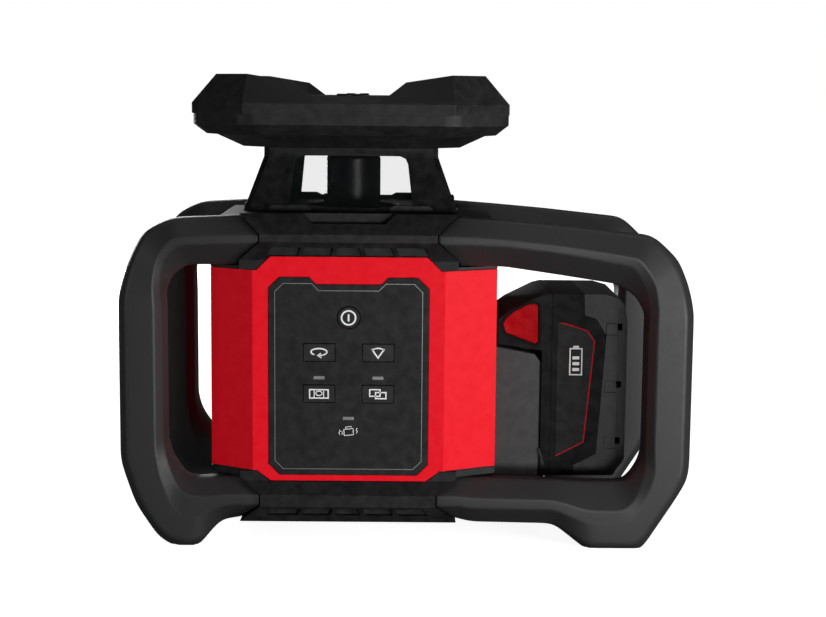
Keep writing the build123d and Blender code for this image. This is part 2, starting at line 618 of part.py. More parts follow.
def barrel_pins():
    return [rod_y(0, GIMBAL_Z, BARREL_BORE + 1, RING_OUT - 1.4, PIN_R),
            rod_y(0, GIMBAL_Z, -RING_OUT + 0.5, -BARREL_BORE - 1, PIN_R)]


def laser_diode():
    can = rod_z(0, 0, 62.0, 82.0, BARREL_BORE)
    return joined([can, rod_z(0, 0, 82.0, 86.0, 4.5)])


def collimator_lens():
    lens = rod_z(0, 0, 110.0, 114.0, BARREL_BORE)
    dome = Solid.make_sphere(22.0, Plane((0, 0, 94.5))) & rod_z(0, 0, 113.0, 120.0, 9.5)
    return joined([lens, dome])


def levelling_motor(x, y):
    return joined([rod_z(x, y, CHASSIS_TOP, 60.0, 9.0), rod_z(x, y, 60.0, 63.0, 4.0)])


def lead_screw(x, y, top):
    return rod_z(x, y, 63.2, top, SCREW_R)


def pitch_nut():
    nut = block((-NUT_HALF, NUT_HALF), (52.5, PITCH_SCREW_Y + 6), (GIMBAL_Z - 6, GIMBAL_Z + 6))
    pin = rod_y(0, GIMBAL_Z, FORK_PIN, 53.0, SCREW_R)
    return joined([nut, pin]) - rod_z(0, PITCH_SCREW_Y, 100, 150, SCREW_BORE)


def roll_nut():
    nut = block((ROLL_SCREW_X - 6, -53.5), (-NUT_HALF, NUT_HALF), (ROLL_FORK_Z - 6, ROLL_FORK_Z + 6))
    pin = rod_x(0, ROLL_FORK_Z, -54.0, -FORK_PIN, SCREW_R)
    return joined([nut, pin]) - rod_z(ROLL_SCREW_X, 0, 100, 160, SCREW_BORE)


# ---- rotor -----------------------------------------------------------------------------

def gear_teeth(teeth, low, high, phase):
    """A spur gear with straight-flanked teeth and working backlash."""
    pitch_r = GEAR_MODULE * teeth / 2
    tip, root = pitch_r + 0.8 * GEAR_MODULE, pitch_r - 1.15 * GEAR_MODULE
    step = 2 * math.pi / teeth
    points = []
    for tooth in range(teeth):
        middle = phase + tooth * step
        for radius, share in ((root, -0.32), (tip, -0.13), (tip, 0.13), (root, 0.32)):
            angle = middle + share * step
            points.append((radius * math.cos(angle), radius * math.sin(angle)))
    return prism_z(points, low, high)


def drive_gear():
    # A tooth points at the pinion, which meets it with a gap.
    gear = gear_teeth(GEAR_TEETH, GEAR_Z, GEAR_Z + GEAR_THICK, -math.pi / 2)
    return gear - rod_z(0, 0, 170, 190, SPINDLE_R)


def motor_pinion():
    gap_phase = math.pi / 2 + math.pi / PINION_TEETH
    pinion = gear_teeth(PINION_TEETH, GEAR_Z, GEAR_Z + GEAR_THICK, gap_phase)
    pinion = pinion.moved(Location((0, MOTOR_Y, 0)))
    return pinion + rod_z(0, MOTOR_Y, 168.2, GEAR_Z, 1.0)


def spindle_motor():
    return joined([rod_z(0, MOTOR_Y, 140.0, 168.0, 9.6), rod_z(0, MOTOR_Y, 137.0, 140.0, 3.0)])


def rotor_bearings():
    return [rod_z(0, 0, low, low + 5, BARREL_BORE) - rod_z(0, 0, low - 1, low + 6, SPINDLE_R + 0.05)
            for low in (156.0, 166.0)]


def rotor_spindle():
    return rod_z(0, 0, 155.0, 193.0, SPINDLE_R) - rod_z(0, 0, 150.0, 200.0, SPINDLE_BORE)


APERTURE_LOW, APERTURE_HIGH, APERTURE_HALF = 205.5, 220.4, 4.0
ROTOR_WALL = 3.4


def aperture(half, low, high, inner, outer):
    """A box that crosses the rotor's wall at the aperture."""
    return block((-half, half), (-outer, -inner), (low, high)).rotate(Axis.Z, -APERTURE_TURN)


def rotor_head():
    head = rod_z(0, 0, ROTOR_LOW, ROTOR_HIGH, ROTOR_R)
    head = head.fillet(2.4, [head.edges().sort_by(Axis.Z)[-1]])
    collar = rod_z(0, 0, ROTOR_LOW, ROTOR_LOW + 3, ROTOR_R + 0.8)
    lug = block((-ROTOR_R - 1.8, -ROTOR_R + 2), (-3.0, 3.0), (ROTOR_LOW, ROTOR_LOW + 8))
    hollow = rod_z(0, 0, 193.0, 220.4, ROTOR_R - ROTOR_WALL)
    slit = aperture(APERTURE_HALF, APERTURE_LOW, APERTURE_HIGH, 10.0, 20.0)
    return cut(joined([head, collar, lug]), [hollow, slit, rod_z(0, 0, 180, 200, SPINDLE_R)])


def rotor_window():
    return aperture(APERTURE_HALF, APERTURE_LOW, APERTURE_HIGH, 14.6, 15.8)


def rotor_prism():
    """A pentaprism that turns the beam from the spindle to the aperture."""
    outline = [(-7.0, -6.5), (7.0, -6.5), (7.0, 6.5), (3.0, 9.0), (-7.0, 6.5)]
    prism = prism_x([(y, z + 211.0) for y, z in outline], -6.0, 6.0)
    stand = block((-6.0, 6.0), (-7.0, 7.0), (200.0, 204.5))
    feet = cut(stand, [rod_z(0, 0, 190, 210, 4.0)])
    ring = rod_z(0, 0, 193.0, 200.0, 8.0) - rod_z(0, 0, 190, 201, 4.6)
    return [prism.rotate(Axis.Z, -APERTURE_TURN), (feet + ring).rotate(Axis.Z, -APERTURE_TURN)]


# ---- battery ---------------------------------------------------------------------------

PACK_OUTLINE = [
    (PACK_LEFT, HEAD_LOW), (PACK_LEFT, PACK_LOW), (170.0, PACK_LOW), (PACK_RIGHT, 29.0),
    (PACK_RIGHT, 119.0), (175.3, 131.0), (172.2, 134.8), (163.0, PACK_HIGH), (126.5, PACK_HIGH),
    (121.3, 136.1), (113.0, 132.0), (103.0, 127.0), (94.6, 120.9), (94.6, 104.6),
]
COVER_SEAM = [
    (148.8, 150.0), (150.0, 123.5), (157.4, 121.3), (163.9, 111.0), (159.0, 33.0), (144.6, 25.4),
    (143.0, 10.0), (190.0, 10.0), (190.0, 150.0),
]
LATCH_OUTLINE = [
    (97.4, 117.6), (99.2, 112.2), (118.3, 104.8), (120.2, 106.2), (119.8, 129.4), (117.6, 131.0),
    (113.6, 130.4), (105.0, 126.2), (99.6, 121.6),
]
PACK_WALL = 2.6
CASE_SEAM = 129.0
CLIP_ROWS = (116.0, 78.5, 41.5)
LEDGE_X, LEDGE_HALF = 172.0, 37.6    # the cover's outer edge is narrower, beyond a ledge


def inset(outline, amount):
    """An outline's corners, each moved in along its two sides."""
    count = len(outline)
    area = sum(outline[i][0] * outline[(i + 1) % count][1] - outline[(i + 1) % count][0] * outline[i][1]
               for i in range(count))
    side = 1.0 if area > 0 else -1.0
    moved = []
    for i in range(count):
        (ax, ay), (bx, by), (cx, cy) = outline[i - 1], outline[i], outline[(i + 1) % count]
        before, after = math.hypot(bx - ax, by - ay), math.hypot(cx - bx, cy - by)
        n1 = (-(by - ay) / before * side, (bx - ax) / before * side)
        n2 = (-(cy - by) / after * side, (cx - bx) / after * side)
        scale = amount / (1 + n1[0] * n2[0] + n1[1] * n2[1])
        moved.append((bx + (n1[0] + n2[0]) * scale, by + (n1[1] + n2[1]) * scale))
    return moved


def pack_solid():
    pack = prism_y(PACK_OUTLINE, -PACK_HALF, PACK_HALF)
    hollow = prism_y(inset(PACK_OUTLINE, PACK_WALL), -PACK_HALF + PACK_WALL, PACK_HALF - PACK_WALL)
    head_fill = block((90.0, 125.4), (-PACK_HALF + 7, PACK_HALF - 7), (90.0, 150.0)) & pack
    return (pack - hollow) + head_fill


def latch(gap, low, high):
    return prism_y(inset(LATCH_OUTLINE, -gap) if gap else LATCH_OUTLINE, low, high)


def case_seam():
    """The joint line that runs round the case, as a ring to cut."""
    band = block((CASE_SEAM - 0.25, CASE_SEAM + 0.25), (-60.0, 60.0), (0.0, 200.0))
    half, low, high = PACK_HALF - SEAM, PACK_LOW + SEAM, PACK_HIGH - SEAM
    return band - block((CASE_SEAM - 1, CASE_SEAM + 1), (-half, half), (low, high))


def battery_case():
    rail = joined([
        block((RAIL_STEP, PACK_LEFT + 1), (-NECK_HALF, NECK_HALF), (RAIL_LOW, HEAD_LOW + 1)),
        block((RAIL_LEFT, RAIL_STEP), (-RAIL_HALF, RAIL_HALF), (RAIL_LOW, HEAD_LOW + 4)),
    ])
    slots = [block((111.6, 114.4), (y - 1.2, y + 1.2), (RAIL_LOW - 1, RAIL_LOW + 16))
             for y in (-12.0, 0.0, 12.0)]
    pockets = [latch(0.35, -PACK_HALF - 1, -PACK_HALF + 9.0), latch(0.35, PACK_HALF - 9.0, PACK_HALF + 1)]
    case = pack_solid() - prism_y(COVER_SEAM, -60, 60)
    return cut(case + rail, slots + pockets + [case_seam()])


def battery_cover():
    cover = pack_solid() & prism_y(COVER_SEAM, -60, 60)
    cuts = []
    for side in (-1, 1):
        cuts.append(block((LEDGE_X, 190.0), sorted((side * LEDGE_HALF, side * 50.0)), (0.0, 128.0)))
        for z in CLIP_ROWS:
            notch, pad = sorted((side * 36.4, side * 50.0)), sorted((side * 38.5, side * 50.0))
            cuts.append(block((LEDGE_X - 0.5, LEDGE_X + 2.5), notch, (z - 2, z + 2)))
            cuts.append(block((LEDGE_X - 8.0, LEDGE_X), pad, (z - 5, z + 2.5)))
    return cut(cover, cuts)


def battery_cells():
    cells = []
    for x in (138.0, 157.2):
        for row in range(5):
            z = 42.0 + 19.4 * row
            cells.append(rod_y(x if row % 2 == 0 else x - 2.0, z, -CELL_LENGTH / 2, CELL_LENGTH / 2, CELL_R))
    return cells


def battery_latch():
    """One release button; the other is its mirror image."""
    button = latch(0.0, -PACK_HALF - 0.4, -PACK_HALF + 6.0)
    return button.fillet(0.6, button.edges().filter_by(Axis.Y))


def battery_labels():
    outline = [(132.6, 30.7), (151.3, 40.0), (157.3, 106.8), (153.0, 113.2), (132.6, 119.6)]
    front = prism_y(outline, -PACK_HALF - 0.3, -PACK_HALF)
    return [front, mirrored_y(front)]


def battery_board():
    return block((125.5, 126.7), (-30.0, 30.0), (30.0, 98.0))


def battery_dock():
    outline = [(BODY_RIGHT, SHELF_TOP), (DOCK_RIGHT, SHELF_TOP), (DOCK_RIGHT, 93.0), (118.0, 98.4),
               (BODY_RIGHT, 103.4)]
    bend, edge = 112.0, PACK_HALF - 1.8
    plan = [(BODY_RIGHT, -PACK_HALF), (bend, -PACK_HALF), (DOCK_RIGHT, -edge),
            (DOCK_RIGHT, edge), (bend, PACK_HALF), (BODY_RIGHT, PACK_HALF)]
    dock = prism_y(outline, -PACK_HALF, PACK_HALF) & prism_z(plan, 0.0, 120.0)
    left, step = RAIL_LEFT - RAIL_CLEAR, RAIL_STEP + RAIL_CLEAR
    flange, neck = RAIL_HALF + RAIL_CLEAR, NECK_HALF + RAIL_CLEAR
    channel = [
        block((left, step), (-flange, flange), (RAIL_LOW - RAIL_CLEAR, 110.0)),
        block((step - 1, DOCK_RIGHT + 1), (-neck, neck), (RAIL_LOW - RAIL_CLEAR, 110.0)),
        block((BODY_RIGHT + 4, left + 1), (-16.0, 16.0), (TERMINAL_LOW, 60.0)),
        block((BODY_RIGHT + 4, 115.0), (-16.0, 16.0), (TERMINAL_LOW, RAIL_LOW)),
    ]
    return cut(dock, channel)


def terminal_block():
    body = block((BODY_RIGHT + 4.2, 109.0), (-15.8, 15.8), (TERMINAL_LOW, 59.8))
    foot = block((108.0, 114.8), (-15.8, 15.8), (TERMINAL_LOW, RAIL_LOW - RAIL_CLEAR))
    return joined([body, foot])


def terminal_blades():
    blades = []
    for y in (-12.0, 0.0, 12.0):
        blades.append(block((112.6, 113.4), (y - 0.8, y + 0.8), (RAIL_LOW - RAIL_CLEAR, RAIL_LOW + 13)))
    return blades


# ---- every piece, by node name ---------------------------------------------------------

def all_parts():
    left, right = front_handle(LEFT_STATIONS), front_handle(RIGHT_STATIONS)
    latch_front = battery_latch()
    parts = {
        "base_housing": base_housing(),
        "base_screws": base_screws(),
        "tripod_plate": tripod_plate(),
        "chassis": chassis(),
        "top_deck": top_deck(),
        "front_shell": front_shell(),
        "rear_shell": rear_shell(),
        "shell_seals": [seal_ring(BASE_TOP), seal_ring(DECK_BOTTOM - SEAL)],
        "handle_front_left": left,
        "handle_front_right": right,
        "handle_rear_left": mirrored_y(left),
        "handle_rear_right": mirrored_y(right),
        "handle_screws": handle_screws(),
        "control_panel": control_panel(),
        "rear_panel": rear_panel(),
        "power_button": power_button(),
        "rotation_button": key_button(-KEY_X, KEY_ROWS[0]),
        "scan_button": key_button(KEY_X, KEY_ROWS[0]),
        "level_button": key_button(-KEY_X, KEY_ROWS[1]),
        "mask_button": key_button(KEY_X, KEY_ROWS[1]),
        "indicator_lenses": indicator_lenses(),
        "keypad_membrane": keypad_membrane(),
        "keypad_board": keypad_board(),
        "main_board": main_board(),
        "buzzer": buzzer(),
        "lighthouse_frame": lighthouse_frame(),
        "tower_screws": tower_screws(),
        "cap_lower": cap_lower(),
        "cap_upper": cap_upper(),
        "cap_screws": cap_screws(),
        "gimbal_ring": gimbal_ring(),
        "ring_pins": ring_pins(),
        "laser_barrel": laser_barrel(),
        "barrel_pins": barrel_pins(),
        "laser_diode": laser_diode(),
        "collimator_lens": collimator_lens(),
        "levelling_motors": [levelling_motor(0, PITCH_SCREW_Y), levelling_motor(ROLL_SCREW_X, 0)],
        "pitch_screw": lead_screw(0, PITCH_SCREW_Y, 138.0),
        "roll_screw": lead_screw(ROLL_SCREW_X, 0, 152.0),
        "pitch_nut": pitch_nut(),
        "roll_nut": roll_nut(),
        "spindle_motor": spindle_motor(),
        "motor_pinion": motor_pinion(),
        "rotor_bearings": rotor_bearings(),
        "rotor_spindle": rotor_spindle(),
        "drive_gear": drive_gear(),
        "rotor_head": rotor_head(),
        "rotor_window": rotor_window(),
        "rotor_prism": rotor_prism(),
        "battery_dock": battery_dock(),
        "terminal_block": terminal_block(),
        "terminal_blades": terminal_blades(),
        "battery_case": battery_case(),
        "battery_cover": battery_cover(),
        "battery_cells": battery_cells(),
        "battery_board": battery_board(),
        "battery_labels": battery_labels(),
        "battery_latch_front": latch_front,
        "battery_latch_rear": mirrored_y(latch_front),
    }
    windows = []
    for quarter in range(4):
        windows += window_glass(90.0 * quarter).solids()
    parts["window_glass"] = windows
    return parts


def write(name, shape):
    pieces = shape if isinstance(shape, list) else [shape]
    solids = [piece for item in pieces for piece in item.solids()]
    export_step(solids[0] if len(solids) == 1 else Compound(children=solids), f"parts/{name}.step")


if __name__ == "__main__":
    os.makedirs("parts", exist_ok=True)
    for name, shape in all_parts().items():
        write(name, shape)
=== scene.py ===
import json
import math

import bmesh
import bpy
import numpy as np
from mathutils import Matrix, Vector


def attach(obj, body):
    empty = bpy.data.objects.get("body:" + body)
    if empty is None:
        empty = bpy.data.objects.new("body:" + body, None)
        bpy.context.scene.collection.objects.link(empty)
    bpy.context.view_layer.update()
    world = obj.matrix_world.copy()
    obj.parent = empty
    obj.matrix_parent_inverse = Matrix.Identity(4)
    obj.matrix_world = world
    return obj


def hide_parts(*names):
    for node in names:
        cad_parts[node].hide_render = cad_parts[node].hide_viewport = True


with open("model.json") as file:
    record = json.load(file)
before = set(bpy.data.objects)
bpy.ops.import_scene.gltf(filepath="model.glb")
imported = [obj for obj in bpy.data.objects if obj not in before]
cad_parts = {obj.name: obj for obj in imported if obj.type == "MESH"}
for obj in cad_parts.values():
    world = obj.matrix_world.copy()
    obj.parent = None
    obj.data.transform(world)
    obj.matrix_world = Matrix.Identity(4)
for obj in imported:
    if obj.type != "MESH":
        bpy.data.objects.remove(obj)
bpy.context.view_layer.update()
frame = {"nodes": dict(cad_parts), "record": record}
MM = 0.001


# ---- materials -------------------------------------------------------------------------

NOISE_MIDDLE = (0.32, 0.68)        # nearly all of a noise's values lie between these
GRAIN_DEPTH = 0.00004
COAT_ROUGHNESS = 0.25
MOTTLE_SCALE, SCUFF_SCALE, SHEEN_SCALE = 55.0, 160.0, 420.0


def noise(tree, scale, detail, coords):
    node = tree.nodes.new("ShaderNodeTexNoise")
    node.inputs["Scale"].default_value = scale
    node.inputs["Detail"].default_value = detail
    tree.links.new(coords, node.inputs["Vector"])
    return node.outputs["Fac"]


def spread(tree, value, low, high):
    """Maps the middle of a noise onto low..high."""
    node = tree.nodes.new("ShaderNodeMapRange")
    node.inputs["From Min"].default_value = NOISE_MIDDLE[0]
    node.inputs["From Max"].default_value = NOISE_MIDDLE[1]
    node.inputs["To Min"].default_value = low
    node.inputs["To Max"].default_value = high
    tree.links.new(value, node.inputs["Value"])
    return node.outputs["Result"]


def surface(name, color, roughness, grain=1500.0, bump=0.25, variation=0.05, rough_spread=0.02, wear=0.3,
            specular=0.5, metallic=0.0, coat=0.0, alpha=1.0, brushed=None):
    """A moulded, machined or filmed surface: mottled colour, worn edges, fine grain in bump and roughness."""
    material = bpy.data.materials.new(name)
    material.use_nodes = True
    tree = material.node_tree
    shader = tree.nodes["Principled BSDF"]
    coords = tree.nodes.new("ShaderNodeTexCoord").outputs["Object"]
    if brushed:
        stretch = tree.nodes.new("ShaderNodeMapping")
        stretch.inputs["Scale"].default_value = brushed
        tree.links.new(coords, stretch.inputs["Vector"])
        grain_coords = stretch.outputs["Vector"]
    else:
        grain_coords = coords

    mottle = spread(tree, noise(tree, MOTTLE_SCALE, 5.0, coords), 1.0 - variation / 5, 1.0 + variation / 5)
    speckle = spread(tree, noise(tree, grain * 0.8, 1.0, grain_coords), 1.0 - variation, 1.0 + variation)
    shade = tree.nodes.new("ShaderNodeMath")
    shade.operation = "MULTIPLY"
    tree.links.new(mottle, shade.inputs[0])
    tree.links.new(speckle, shade.inputs[1])
    tint = tree.nodes.new("ShaderNodeMix")
    tint.data_type = "RGBA"
    tint.blend_type = "MULTIPLY"
    tint.inputs["Factor"].default_value = 1.0
    tint.inputs["A"].default_value = (*color, 1.0)
    tree.links.new(shade.outputs[0], tint.inputs["B"])

    edge = tree.nodes.new("ShaderNodeAttribute")
    edge.attribute_name = "edge"
    scuff = spread(tree, noise(tree, SCUFF_SCALE, 3.0, coords), 0.0, wear)
    worn = tree.nodes.new("ShaderNodeMath")
    worn.operation = "MULTIPLY"
    tree.links.new(edge.outputs["Fac"], worn.inputs[0])
    tree.links.new(scuff, worn.inputs[1])
    lighter = tree.nodes.new("ShaderNodeMix")
    lighter.data_type = "RGBA"
    lighter.inputs["B"].default_value = tuple(min(1.0, c * 1.5 + 0.03) for c in color) + (1.0,)
    tree.links.new(worn.outputs[0], lighter.inputs["Factor"])
    tree.links.new(tint.outputs["Result"], lighter.inputs["A"])
    tree.links.new(lighter.outputs["Result"], shader.inputs["Base Color"])

    rough = spread(tree, noise(tree, SHEEN_SCALE, 2.0, coords),
                   roughness - rough_spread, roughness + rough_spread)
    tree.links.new(rough, shader.inputs["Roughness"])
    bumps = tree.nodes.new("ShaderNodeBump")
    bumps.inputs["Strength"].default_value = bump
    bumps.inputs["Distance"].default_value = GRAIN_DEPTH
    tree.links.new(noise(tree, grain, 2.0, grain_coords), bumps.inputs["Height"])
    tree.links.new(bumps.outputs["Normal"], shader.inputs["Normal"])

    shader.inputs["Specular IOR Level"].default_value = specular
    shader.inputs["Metallic"].default_value = metallic
    shader.inputs["Coat Weight"].default_value = coat
    shader.inputs["Coat Roughness"].default_value = COAT_ROUGHNESS
    shader.inputs["Alpha"].default_value = alpha
    return material


PAINTS = {
    "black_plastic": dict(color=(0.0060, 0.0060, 0.0067), roughness=0.50, specular=0.18),
    "gloss_black": dict(color=(0.0024, 0.0024, 0.0026), roughness=0.40, grain=900, bump=0.04,
                        rough_spread=0.03, specular=0.16, coat=0.03),
    "cap_plastic": dict(color=(0.0075, 0.0075, 0.0083), roughness=0.55, grain=1200, bump=0.4, specular=0.22),
    "grip_rubber": dict(color=(0.021, 0.0213, 0.0223), roughness=0.50, grain=1100, bump=0.5, specular=0.34),
    "red_plastic": dict(color=(0.76, 0.0009, 0.0105), roughness=0.55, grain=1300, bump=0.10,
                        variation=0.015, rough_spread=0.01, wear=0.15, specular=0.12),
    "panel_film": dict(color=(0.0068, 0.0068, 0.0077), roughness=0.62, bump=0.6, specular=0.2),
    "key_plastic": dict(color=(0.0065, 0.0065, 0.0073), roughness=0.5, bump=0.3, specular=0.25),
    "seal_rubber": dict(color=(0.01, 0.01, 0.01), roughness=0.8, specular=0.2),
    "clear_glass": dict(color=(0.03, 0.035, 0.035), roughness=0.04, bump=0.0, rough_spread=0.01, alpha=0.06),
    "lens_glass": dict(color=(0.012, 0.010, 0.020), roughness=0.08, bump=0.0, alpha=0.85),
    "indicator_plastic": dict(color=(0.17, 0.17, 0.17), roughness=0.35, bump=0.05),
    "steel": dict(color=(0.50, 0.51, 0.52), roughness=0.30, metallic=1.0, brushed=(1, 1, 12), bump=0.2),
    "aluminium": dict(color=(0.62, 0.63, 0.64), roughness=0.35, metallic=1.0, brushed=(1, 1, 8), bump=0.2),
    "brass": dict(color=(0.62, 0.43, 0.15), roughness=0.28, metallic=1.0, brushed=(1, 1, 8), bump=0.15),
    "circuit_board": dict(color=(0.01, 0.10, 0.04), roughness=0.35, grain=600, variation=0.2),
    "white_plastic": dict(color=(0.72, 0.72, 0.70), roughness=0.45),
    "dock_grey": dict(color=(0.023, 0.024, 0.0252), roughness=0.52, grain=1100, bump=0.35, specular=0.28),
    "pack_black": dict(color=(0.0022, 0.0022, 0.0024), roughness=0.60, specular=0.10),
    "pack_grey": dict(color=(0.020, 0.020, 0.0212), roughness=0.52, specular=0.26),
    "latch_red": dict(color=(0.31, 0.0004, 0.0030), roughness=0.60, grain=1600, bump=0.3, variation=0.03,
                      specular=0.03),
    "label_film": dict(color=(0.0062, 0.0062, 0.0072), roughness=0.55, grain=1800, bump=0.1, specular=0.14),
    "cell_wrap": dict(color=(0.03, 0.14, 0.40), roughness=0.3, bump=0.1),
    "motor_steel": dict(color=(0.42, 0.42, 0.43), roughness=0.35, metallic=1.0, brushed=(1, 1, 10)),
    "pack_frame": dict(color=(0.003, 0.003, 0.0032), roughness=0.6, bump=0.1, specular=0.08, wear=0.0),
    # A grey for the cover's lines, and for the painted highlight on the pack's side.
    "pack_line_and_highlight": dict(color=(0.013, 0.013, 0.014), roughness=0.45, bump=0.2, specular=0.25),
    "icon_white": dict(color=(0.80, 0.80, 0.80), roughness=0.5, bump=0.05, variation=0.03, wear=0.0),
    "trim_silver": dict(color=(0.20, 0.205, 0.21), roughness=0.35, metallic=0.5, bump=0.05),
    "line_red": dict(color=(0.62, 0.001, 0.010), roughness=0.6, bump=0.05, variation=0.03, wear=0.0,
                     specular=0.05),
}
MATERIALS = {name: surface(name, **paint) for name, paint in PAINTS.items()}
SLOT_OF = {row["node"]: row["material_slot"] for row in frame["record"]["subparts"]}
BODY_OF = {node: body for body, nodes in frame["record"]["behaviour"]["bodies"].items() for node in nodes}


# ---- mesh helpers ----------------------------------------------------------------------

NORMAL_WEIGHT = 80                 # how far the large faces set the shading of the rounded edges
WELD = 0.000004
FLAT_ANGLE = math.radians(0.6)     # facets closer to level than this are one face
SHARP_ANGLE = math.radians(22)     # edges sharper than this are rounded
EDGE_SEGMENTS, CORNER_SEGMENTS = 3, 4
CORNER_REACH, CORNER_RISE, CORNER_ANGLE = 0.05, 0.003, 0.25
MITRE_FLOOR = 0.35                 # keeps a line's sharpest bends from growing spikes
PRINT_HEIGHT = 0.08


def new_piece(name, bm, material, body, smooth=True):
    """Turns a bmesh into a piece that rides a body and takes its finish from a slot."""
    mesh = bpy.data.meshes.new(name)
    bm.normal_update()
    bm.to_mesh(mesh)
    bm.free()
    for polygon in mesh.polygons:
        polygon.use_smooth = smooth
    piece = bpy.data.objects.new(name, mesh)
    bpy.context.scene.collection.objects.link(piece)
    mesh.materials.append(material)
    if smooth:
        weighted = piece.modifiers.new("weighted_normals", "WEIGHTED_NORMAL")
        weighted.weight = NORMAL_WEIGHT
        weighted.keep_sharp = True
    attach(piece, body)
    return piece


def mark_edges(bm, faces):
    """Stores 1 on the points of rounded edges, for the wear in the materials."""
    layer = bm.verts.layers.float.get("edge") or bm.verts.layers.float.new("edge")
    for face in faces:
        for vert in face.verts:
            vert[layer] = 1.0


def corner_edges(bm):
    """Sharp edges that climb a diagonal corner, well away from the middle planes."""
    found = []
    for edge in bm.edges:
        a, b = edge.verts[0].co, edge.verts[1].co
        outside = all(min(abs(v.x), abs(v.y)) > CORNER_REACH for v in (a, b))
        climbs = abs(a.z - b.z) > CORNER_RISE
        if outside and climbs and edge.is_manifold and edge.calc_face_angle(0.0) > CORNER_ANGLE:
            found.append(edge)
    return found


def rounded_off(bm, edges, radius, segments):
    return bmesh.ops.bevel(bm, geom=edges, offset=radius, segments=segments, profile=0.5, affect="EDGES",
                           clamp_overlap=True, offset_type="OFFSET")["faces"]


def refined(node, bevel, corner):
    """A CAD node's shape with its facets joined and its edges rounded, its corners more so."""
    bm = bmesh.new()
    bm.from_mesh(frame["nodes"][node].data)
    bm.verts.layers.float.new("edge")
    bmesh.ops.remove_doubles(bm, verts=bm.verts, dist=WELD)
    bmesh.ops.dissolve_limit(bm, angle_limit=FLAT_ANGLE, verts=bm.verts, edges=bm.edges)
    if corner:
        rounded_off(bm, corner_edges(bm), corner, CORNER_SEGMENTS)
    sharp = [e for e in bm.edges if e.is_manifold and e.calc_face_angle(0.0) > SHARP_ANGLE]
    mark_edges(bm, rounded_off(bm, sharp, bevel, EDGE_SEGMENTS))
    slot = SLOT_OF[node]
    piece = new_piece(node + "_shape", bm, MATERIALS[slot], BODY_OF[node])
    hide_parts(node)


def ribbon(bm, points, width, face_y, height, closed):
    """A raised printed line in the XZ plane, on a face at face_y that looks towards -Y."""
    count = len(points)
    left, right = [], []
    for i, (x, z) in enumerate(points):
        before = points[i - 1] if closed or i else points[i]
        after = points[(i + 1) % count] if closed or i < count - 1 else points[i]
        d1 = Vector((x - before[0], z - before[1]))
        d2 = Vector((after[0] - x, after[1] - z))
        d1 = d1.normalized() if d1.length else d2.normalized()
        d2 = d2.normalized() if d2.length else d1
        n1, n2 = Vector((-d1.y, d1.x)), Vector((-d2.y, d2.x))
        normal = (n1 + n2) / max(MITRE_FLOOR, 1.0 + n1.dot(n2))
        left.append((x + normal.x * width / 2, z + normal.y * width / 2))
        right.append((x - normal.x * width / 2, z - normal.y * width / 2))
    rows = []
    for side, y in ((left, face_y), (left, face_y - height), (right, face_y - height), (right, face_y)):
        rows.append([bm.verts.new((px * MM, y * MM, pz * MM)) for px, pz in side])
    for i in range(count if closed else count - 1):
        j = (i + 1) % count
        for a, b in ((0, 1), (1, 2), (2, 3), (3, 0)):
            bm.faces.new((rows[a][i], rows[a][j], rows[b][j], rows[b][i]))
    if not closed:
        bm.faces.new([rows[k][0] for k in range(4)])
        bm.faces.new([rows[k][count - 1] for k in (3, 2, 1, 0)])


def arc(cx, cz, rx, rz, start, end):
    steps = 24
    angles = [math.radians(start + (end - start) * i / steps) for i in range(steps + 1)]
    return [(cx + rx * math.cos(a), cz + rz * math.sin(a)) for a in angles]


def icon(name, strokes, face_y, body, material="icon_white"):
    """Raised strokes on a face; each is its points, its width, and whether it closes."""
    bm = bmesh.new()
    for points, width, closed in strokes:
        ribbon(bm, points, width, face_y, PRINT_HEIGHT, closed)
    bmesh.ops.recalc_face_normals(bm, faces=bm.faces)
    new_piece(name, bm, MATERIALS[material], body, smooth=False)


# ---- handles ---------------------------------------------------------------------------

HANDLE_Y = 75.0
FLOOR = -16.0
CORNER_RADII = (2.5, 2.0, 1.1, 1.1, 2.5)
SIDE_SHARE = 0.42                  # how much of a side one rounded corner may take
TRACK_STEP, TRACK_BLUR = 2.0, 3.6
END_RINGS = ((1.5, 0.0), (0.5, 0.35), (0.0, 1.5))   # how far drawn in, and the gap to the centre block
END_GAP = 0.5
RIM_WEAR = 0.8
CREASE_ANGLE = math.radians(38)

# Half of a ten-sided section: shares of the way from the outer to the inner point, and half widths.
ARM = ((0.0, 5.0), (0.02, 6.5), (0.36, 17.0), (0.53, 17.0), (1.0, 5.0))
LEG = ((0.0, 9.0), (0.20, 17.0), (0.83, 17.0), (1.0, 11.0), (1.0, 6.0))
LEFT_FOOT = ((0.0, 12.0), (0.14, 17.0), (0.50, 17.0), (0.80, 17.0), (1.0, 6.0))
RIGHT_FOOT = ((0.0, 12.0), (0.14, 17.0), (0.45, 17.0), (0.63, 17.0), (1.0, 6.0))
LOWER_ARM = ((0.0, 5.0), (0.04, 7.0), (0.40, 17.0), (0.64, 17.0), (1.0, 5.0))


def mix(first, second, share):
    return tuple((t1 + (t2 - t1) * share, y1 + (y2 - y1) * share)
                 for (t1, y1), (t2, y2) in zip(first, second))


